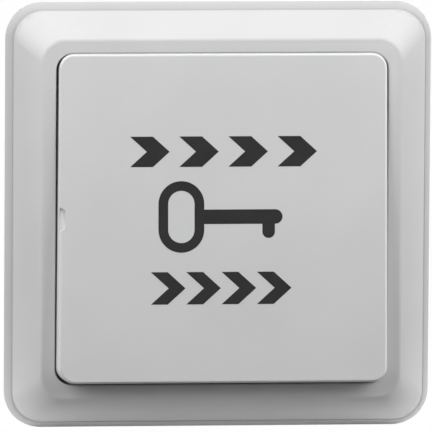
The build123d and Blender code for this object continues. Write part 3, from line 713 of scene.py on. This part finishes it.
def key_in_opening(mesh):
    """The key's mesh, set in the frame's opening as the real one sits, with a notch to lift it by.

    Points near the face move to the right by the same length, and up by the rise times their share of the way up
    the corners' height, from 0 below it to 1 at the top. Points at the skirt's foot move out by the flare times
    their share of the outer wall's last part.
    """
    middle, right, up, outward = key_face()
    points = points_of(mesh)
    height, depth = points @ up, points @ outward - middle @ outward
    way = np.clip((height - height.max()) / CORNER_HEIGHT + 1, 0, 1)[:, None]
    outer = np.clip((np.abs(points[:, :1]) - SKIRT_REACH) / SKIRT_WALL, 0, 1) * np.sign(points[:, :1])
    near, foot = (depth > -FACE_DEPTH)[:, None], (depth < -SKIRT_DEPTH)[:, None]
    moved = points + near * (FACE_RISE * way * up + FACE_ASIDE * right) + foot * SKIRT_FLARE * outer * right
    mesh.vertices.foreach_set("co", (moved * MM).ravel())
    outline = rounded_rectangle(2 * NOTCH_DEPTH, NOTCH_LENGTH, NOTCH_DEPTH * NOTCH_CORNER)
    edge_x = points[:, 0].min() + FACE_ASIDE
    place = middle + (edge_x - middle[0]) * right + outline[:, :1] * right + outline[:, 1:] * up
    return cut_away(mesh, [raised(outline, place - NOTCH_DROP * outward, place + outward)])


# Pieces


class EXITBUTTON_OT_finishes(bpy.types.Operator):
    """Makes every finish and gives the frame nodes theirs"""

    bl_idname = "exit_button.finishes"
    bl_label = "Finishes"

    def execute(self, context):
        tints, sizes = context.scene.exit_button_colours, context.scene.exit_button_sizes
        groups = {"grain": moulded_grain(), "edge": edge_polish_and_highlight(), "metal": drawn_metal(), "line": painted_highlight_line()}
        middle, half_width, half_height = key_outline()
        outline = {
            "Half_Width": (half_width + FACE_ASIDE) * MM,
            "Half_Height": half_height * MM,
            "Middle": middle[2] * MM,
            "Radius": KEY_CORNER_RADIUS * MM,
            "Line": HIGHLIGHT_LINE_WIDTH * MM,
        }
        extras = {
            # Painted shade on the frame's side behind the crease
            "Frame plastic": {"painted_shade_band": (CREASE_HEIGHT, *PAINTED_SHADE_TONES)},
            # A painted highlight line along the key's edge
            "Key plastic": {"line": outline},
        }
        for name, tint, nodes, *look in PLASTICS:
            give(nodes, plastic(name, getattr(tints, tint), groups, sizes, *look, **extras.get(name, {})))
        for name, tint, nodes, roughness, dark, line_size in METALS:
            give(nodes, metal(name, getattr(tints, tint), groups, roughness, dark, line_size * MM))
        printed_ink("Ink", tints.ink, groups, sizes)
        return {"FINISHED"}


class EXITBUTTON_OT_mouldings(bpy.types.Operator):
    """Rounds the edges of the frame, the key, the base, the switch body and the rear cover"""

    bl_idname = "exit_button.mouldings"
    bl_label = "Mouldings"

    def execute(self, context):
        rounding = context.scene.exit_button_sizes.edge_rounding
        ridge = RIDGE_ROUNDING * MM
        finish = bpy.data.materials
        middle, _, _, outward = key_face()

        def near_the_face(edge):
            least = middle @ outward - ROUNDED_DEPTH
            return all(np.array(point.co) / MM @ outward > least for point in edge.verts)

        for name, node, body, plastic_name, width, chosen, shape in (
            ("frame_moulding", "front_frame", "plate", "Frame plastic", ridge, frame_share, grooved_frame),
            ("key_moulding", "key_plate", "key", "Key plastic", rounding, near_the_face, key_in_opening),
            ("base_moulding", "mounting_base", "plate", "Base plastic", 0.14 * MM, None, None),
            ("switch_body_moulding", "switch_housing", "plate", "Switch plastic", 0.18 * MM, None, None),
            ("rear_cover_moulding", "switch_cover", "plate", "Cover plastic", 0.2 * MM, None, None),
        ):
            rounded_copy(name, node, body, finish[plastic_name], width, chosen=chosen, shape=shape)
        return {"FINISHED"}


class EXITBUTTON_OT_key_print(bpy.types.Operator):
    """Prints the key symbol, with a row of chevrons above it and one below"""

    bl_idname = "exit_button.key_print"
    bl_label = "Print"

    def execute(self, context):
        thick = context.scene.exit_button_sizes.ink_thickness / MM
        middle, right, up, outward = key_face()

        def lay(outline, lift):
            return middle + outline[:, :1] * right + outline[:, 1:] * up + outward * lift

        def stamp(outline):
            return raised(outline, lay(outline, 0.0), lay(outline, thick))

        chevrons = []
        for centre_x, centre_z, width, height, stroke in CHEVRON_ROWS:
            point = CHEVRON_POINT * height
            single = point + stroke
            turns = np.array([0, stroke, single, stroke, 0, point]) - single / 2
            sides = np.array([0.5, 0.5, 0, -0.5, -0.5, 0]) * height
            for place in np.linspace(-1, 1, CHEVRONS_IN_ROW) * (width - single) / 2:
                chevrons.append(stamp(np.stack([turns + centre_x + place, sides + centre_z], -1)[::-1]))
        make_piece("printed_chevrons", chevrons, "key", finish=bpy.data.materials["Ink"])

        bow_width, bow_height, stroke = 9.2, 14.35, 1.95
        bow_x, line_z = -8.4, 0.39
        outer = rounded_rectangle(bow_width, bow_height, bow_width / 2)
        inner = rounded_rectangle(bow_width - 2 * stroke, bow_height - 2 * stroke, bow_width / 2 - stroke)
        outer, inner = outer + (bow_x, line_z), inner + (bow_x, line_z)
        ring = looped(np.stack([lay(inner, 0.0), lay(outer, 0.0), lay(outer, thick), lay(inner, thick)]))

        shaft_half, tip_x = 1.46, 11.95
        bit_x, bit_half, bit_foot = 9.15, 1.27, -4.3
        turn = np.linspace(pi / 2, -pi / 2, 17)
        end = np.stack([tip_x - shaft_half + shaft_half * np.cos(turn), shaft_half * np.sin(turn)], -1)
        turn = np.linspace(0, -pi, 17)
        foot = np.stack([bit_x + bit_half * np.cos(turn), bit_foot + bit_half + bit_half * np.sin(turn)], -1)
        start_x = bow_x + bow_width / 2
        last = [(bit_x - bit_half, -shaft_half), (start_x, -shaft_half)]
        blade = np.concatenate([[(start_x, shaft_half)], end, [(bit_x + bit_half, -shaft_half)], foot, last])
        blade = blade + (0, line_z)
        make_piece("printed_key_symbol", [ring, stamp(blade)], "key", finish=bpy.data.materials["Ink"])
        return {"FINISHED"}


def spring_shell(radius, wire, turns, near, far, x, z, sides=14, per_turn=40):
    """A coil spring along Y with closed end turns.

    The wire's middle circles the axis while it climbs by a pitch that is one wire thick over the first and
    last turn and even between them. Round it runs a circle of the wire's radius, square to the climb.
    """
    steps = int(turns * per_turn)
    part = np.linspace(0, turns, steps + 1)
    free = far - near - wire
    closed = wire * CLOSED_PITCH
    pitch = (free - 2 * closed) / (turns - 2)
    climb = np.interp(part, [0, 1, turns - 1, turns], [0, closed, closed + pitch * (turns - 2), free])
    kernel = np.hanning(per_turn // 2 + 1)
    padded = np.pad(climb, len(kernel) // 2, mode="reflect", reflect_type="odd")
    climb = np.clip(np.convolve(padded, kernel / kernel.sum(), mode="valid"), 0, free)
    angle = 2 * pi * part
    radial = np.stack([np.cos(angle), np.zeros_like(angle), np.sin(angle)], -1)
    centre = np.stack([np.full_like(angle, x), near + wire / 2 + climb, np.full_like(angle, z)], -1)
    middle = radial * radius + centre
    along = np.gradient(middle, axis=0)
    along /= np.linalg.norm(along, axis=1, keepdims=True)
    across = np.cross(along, radial)
    across /= np.linalg.norm(across, axis=1, keepdims=True)
    round_wire = np.linspace(0, 2 * pi, sides, endpoint=False)
    rings = middle[:, None] + wire / 2 * (
        np.cos(round_wire)[None, :, None] * radial[:, None] + np.sin(round_wire)[None, :, None] * across[:, None]
    )
    return capped(rings)


class EXITBUTTON_OT_springs(bpy.types.Operator):
    """Winds the four springs from round wire"""

    bl_idname = "exit_button.springs"
    bl_label = "Springs"

    def execute(self, context):
        steel = bpy.data.materials["Spring steel"]
        for node, wire, turns, joint, keep, body in SPRINGS:
            low, high = box_of(node)
            middle = (low + high) / 2
            radius = (high - low)[0] / 2 - wire * COIL_INSET
            lean = COIL_LEAN * wire
            shell = spring_shell(radius, wire, turns, low[1] + lean, high[1] - lean, middle[0], middle[2])
            made = make_piece(node.replace("spring", "coil"), [shell], body, steel, sharp=60)
            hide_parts(node)
            if joint:
                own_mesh(made)
        return {"FINISHED"}


def screw_shell(top, x, z, head_radius, head_height, shank_radius, reach, pitch, slotted, turned):
    """A screw whose head faces +Y and whose shank runs forward.

    Each row of points is a ring round the axis. Over the head the depth is a low dome plus the cross recess,
    a clamped distance to two crossed bars. Down the side the radius follows a rounded rim, and along the shank
    it rises and falls as a triangle wave of depth along the axis less the angle, which makes the thread.
    """
    columns = 96
    angle = np.linspace(0, 2 * pi, columns, endpoint=False)
    rim, crown = RIM_SHARE * head_height, CROWN_SHARE * head_height
    radii = np.linspace(0.04, 1, 30)[:, None] * (head_radius - rim)
    across, up = radii * np.cos(angle + turned), radii * np.sin(angle + turned)
    arm, half, wall = BAR_REACH * head_radius, BAR_HALF * head_radius, RECESS_WALL * head_radius
    bars = np.minimum(
        np.maximum(np.abs(across) - arm, np.abs(up) - half),
        np.maximum(np.abs(up) - arm, np.abs(across) - half),
    )
    depth = RECESS_SHARE * head_height * np.clip(0.5 - bars / wall, 0, 1)
    depth = depth * (1 - RECESS_TAPER * radii / head_radius)
    if slotted:
        depth = np.maximum(depth, SLOT_SHARE * head_height * np.clip(0.5 - (np.abs(up) - half) / wall, 0, 1))
    face = crown * (radii / (head_radius - rim)) ** 2 + depth
    turn = np.linspace(0, pi / 2, 6)[1:, None]
    rim_radii = head_radius - rim + rim * np.sin(turn)
    rim_depths = crown + rim * (1 - np.cos(turn))
    along = np.linspace(0, reach, int(reach / pitch * 8) + 1)[:, None]
    wave = 2 * np.abs((along / pitch - angle / (2 * pi)) % 1 - 0.5)
    fade = np.clip(np.minimum(along / pitch, (reach - along) / (THREAD_FADE * pitch)), 0, 1)
    shank = shank_radius - THREAD_DEPTH * pitch * wave * np.clip(fade, 0.15, 1)
    taper = np.clip((reach - along) / (TIP_TAPER * pitch), 0, 1)
    shank = shank * (TIP_RADIUS + (1 - TIP_RADIUS) * taper)
    ones = np.ones(columns)
    radius = np.concatenate([radii * ones, rim_radii * ones, [head_radius * ones], shank])
    drop = np.concatenate([face, rim_depths * ones, [head_height * ones], head_height + along * ones])
    rings = np.stack([x + radius * np.cos(angle), top - drop, z + radius * np.sin(angle)], -1)
    return capped(rings)


class EXITBUTTON_OT_screws(bpy.types.Operator):
    """Cuts the screws with their recesses and threads, and rounds the pressed clamps and strips"""

    bl_idname = "exit_button.screws"
    bl_label = "Screws"

    def execute(self, context):
        zinc = bpy.data.materials["Zinc plate"]
        for node, head_radius, head_height, shank_radius, pitch, slotted, turned, several in SCREWS:
            low, high = box_of(node)
            centre = (low + high) / 2
            away = (high[2] - low[2]) / 2 - head_radius
            reach = high[1] - low[1] - head_height
            sizes = (head_radius, head_height, shank_radius, reach, pitch)
            shells = [
                screw_shell(high[1], centre[0], centre[2] + side * away, *sizes, slotted, turned + side)
                for side in ((-1, 1) if several else (0,))
            ]
            made = make_piece(f"threaded_{node}", shells, "plate", zinc, sharp=38)
            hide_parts(node)
        for side in ("left", "right"):
            for name, node, finish, slot, rounding in (
                ("pressed_clamp", "clamp_washer", "Zinc plate", "zinc_steel", 0.14),
                ("pressed_strip", "terminal_strip", "Brass", "brass", 0.06),
            ):
                finish = bpy.data.materials[finish]
                rounded_copy(f"{name}_{side}", f"{node}_{side}", "plate", finish, rounding * MM)
        return {"FINISHED"}


# Stage


def sky(settings):
    """Soft light from above, from both sides and from behind, seen as plain white by camera and reflections."""
    world = bpy.data.worlds.new("Studio")
    bpy.context.scene.world = world
    world.use_nodes = True
    tree = world.node_tree
    tree.nodes.clear()
    direction = put(tree, "ShaderNodeTexCoord").outputs["Generated"]
    part = put(tree, "ShaderNodeSeparateXYZ", {0: direction}).outputs
    level = maths(tree, "MULTIPLY_ADD", part["Z"], SKY_UPWARD, SKY_PLAIN)
    level = maths(tree, "MULTIPLY_ADD", part["X"], SKY_RIGHT, level)
    outward = maths(tree, "MULTIPLY", part["X"], part["X"])
    level = maths(tree, "MAXIMUM", maths(tree, "MULTIPLY_ADD", outward, SKY_SIDES, level), SKY_LEAST)
    depth = maths(tree, "MULTIPLY_ADD", part["Y"], 0.5, 0.5)
    ring = put(tree, "ShaderNodeValToRGB", {"Fac": depth})
    steps = ring.color_ramp.elements
    while len(steps) < len(SKY_RING):
        steps.new(0.5)
    for step, (place, strength) in zip(steps, SKY_RING):
        step.position = (place + 1) / 2
        step.color = (strength / SKY_PEAK,) * 3 + (1,)
    level = maths(tree, "MULTIPLY", level, maths(tree, "MULTIPLY", ring.outputs["Color"], SKY_PEAK))
    level = maths(tree, "MULTIPLY", level, settings.sky_level)
    soft = put(tree, "ShaderNodeBackground", {"Color": (1, 1, 1, 1), "Strength": level})
    white = put(tree, "ShaderNodeBackground", {"Color": (1, 1, 1, 1), "Strength": 1.0})
    mixed = mixed_by(tree, background_rays(tree), soft, white)
    put(tree, "ShaderNodeOutputWorld", {"Surface": mixed.outputs[0]})


def background_rays(tree):
    """1 for rays from the camera and from gloss or glass, 0 for the rays that light a surface."""
    path = put(tree, "ShaderNodeLightPath").outputs
    seen = maths(tree, "MAXIMUM", path["Is Camera Ray"], path["Is Glossy Ray"])
    return maths(tree, "MAXIMUM", seen, path["Is Transmission Ray"])


def lay_floor(settings):
    """A plain floor under the plate, shown pale with its shadow, and seen from above only.

    For the light that it gives back it is a pale card close to the plate, and dim beyond it.
    """
    low = cad_box[0]
    half = settings.floor_size / 2
    mesh = bpy.data.meshes.new("floor")
    corners = [(-half, -half, low.z), (half, -half, low.z), (half, half, low.z), (-half, half, low.z)]
    mesh.from_pydata(corners, [], [(0, 1, 2, 3)])
    floor = bpy.data.objects.new("floor", mesh)
    bpy.context.scene.collection.objects.link(floor)
    made, tree, shader = new_material("Floor")
    place = put(tree, "ShaderNodeTexCoord").outputs["Object"]
    spread = put(tree, "ShaderNodeVectorMath", {0: place}, operation="ABSOLUTE").outputs[0]
    beyond = put(tree, "ShaderNodeVectorMath", {0: spread, 1: CARD_REACH}, operation="SUBTRACT").outputs[0]
    beyond = put(tree, "ShaderNodeSeparateXYZ", {0: beyond}).outputs
    away = maths(tree, "MAXIMUM", beyond["X"], beyond["Y"])
    card = ranged(tree, away, CARD_TONE, FLOOR_TONE, -CARD_EDGE, CARD_EDGE)
    tree.links.new(card, shader.inputs["Base Color"])
    shader.inputs["Roughness"].default_value = 0.9
    shader.inputs["Specular IOR Level"].default_value = 0.0
    pale = put(tree, "ShaderNodeBsdfDiffuse", {"Color": (*[FLOOR_SHOWN] * 3, 1)})
    glow = put(tree, "ShaderNodeEmission", {"Color": (1, 1, 1, 1), "Strength": 1.0})
    seen = mixed_by(tree, FLOOR_GLOW, pale, glow)
    mixed = mixed_by(tree, background_rays(tree), shader, seen)
    clear = put(tree, "ShaderNodeBsdfTransparent")
    under = put(tree, "ShaderNodeNewGeometry").outputs["Backfacing"]
    mixed = mixed_by(tree, under, mixed, clear)
    tree.links.new(mixed.outputs[0], tree.nodes["Material Output"].inputs["Surface"])
    mesh.materials.append(made)


def set_lamps(settings):
    """Soft lamps that face the middle of the plate and aren't seen themselves."""
    for name, power, place, width, height in LAMPS:
        lamp = bpy.data.lights.new(name, "AREA")
        lamp.shape = "RECTANGLE"
        lamp.size, lamp.size_y = width, height
        lamp.energy = getattr(settings, power)
        lamp_object = bpy.data.objects.new(name, lamp)
        bpy.context.scene.collection.objects.link(lamp_object)
        lamp_object.location = place
        lamp_object.rotation_mode = "QUATERNION"
        lamp_object.rotation_quaternion = (-lamp_object.location).to_track_quat("-Z", "Y")
        lamp_object.visible_camera = False


def set_camera(settings):
    """A long lens in front of the plate, a little to the left and above."""
    lens = bpy.data.cameras.new("Camera")
    lens.sensor_width = 36
    lens.lens = settings.focal_length
    lens.clip_end = 30
    camera = bpy.data.objects.new("Camera", lens)
    bpy.context.scene.collection.objects.link(camera)
    turn, rise = settings.azimuth, settings.elevation
    back = Vector((sin(turn) * cos(rise), -cos(turn) * cos(rise), sin(rise)))
    upright = (-back).to_track_quat("-Z", "Y")
    aim = upright @ Vector((settings.aside, settings.above, 0))
    camera.location = aim + back * settings.distance
    camera.rotation_mode = "QUATERNION"
    camera.rotation_quaternion = upright @ Quaternion((0, 0, 1), settings.roll)
    bpy.context.scene.camera = camera


class EXITBUTTON_OT_stage(bpy.types.Operator):
    """Sets the floor, the light and the camera"""

    bl_idname = "exit_button.stage"
    bl_label = "Stage"

    def execute(self, context):
        settings = context.scene.exit_button_stage
        context.scene.view_settings.view_transform = "Standard"
        sky(settings)
        lay_floor(settings)
        set_lamps(settings)
        set_camera(settings)
        return {"FINISHED"}


class EXITBUTTON_PT_panel(bpy.types.Panel):
    """Lists the steps that dress the button"""

    bl_idname = "EXITBUTTON_PT_panel"
    bl_label = "Door Exit Button"
    bl_space_type = "VIEW_3D"
    bl_region_type = "UI"
    bl_category = "Exit Button"

    def draw(self, context):
        for step in STEPS:
            self.layout.operator(step.bl_idname)
        for group in ("exit_button_colours", "exit_button_sizes", "exit_button_stage"):
            settings = getattr(context.scene, group)
            box = self.layout.box()
            for name in settings.__annotations__:
                box.prop(settings, name)


STEPS = (
    EXITBUTTON_OT_finishes,
    EXITBUTTON_OT_mouldings,
    EXITBUTTON_OT_key_print,
    EXITBUTTON_OT_springs,
    EXITBUTTON_OT_screws,
    EXITBUTTON_OT_stage,
)
CLASSES = (ExitButtonColours, ExitButtonSizes, ExitButtonStage, *STEPS, EXITBUTTON_PT_panel)


def register():
    for made in CLASSES:
        bpy.utils.register_class(made)
    bpy.types.Scene.exit_button_colours = bpy.props.PointerProperty(type=ExitButtonColours)
    bpy.types.Scene.exit_button_sizes = bpy.props.PointerProperty(type=ExitButtonSizes)
    bpy.types.Scene.exit_button_stage = bpy.props.PointerProperty(type=ExitButtonStage)


def unregister():
    del bpy.types.Scene.exit_button_stage
    del bpy.types.Scene.exit_button_sizes
    del bpy.types.Scene.exit_button_colours
    for made in reversed(CLASSES):
        bpy.utils.unregister_class(made)


def main():
    register()
    bpy.ops.exit_button.finishes()
    bpy.ops.exit_button.mouldings()
    bpy.ops.exit_button.key_print()
    bpy.ops.exit_button.springs()
    bpy.ops.exit_button.screws()
    bpy.ops.exit_button.stage()


if __name__ == "__main__":
    main()
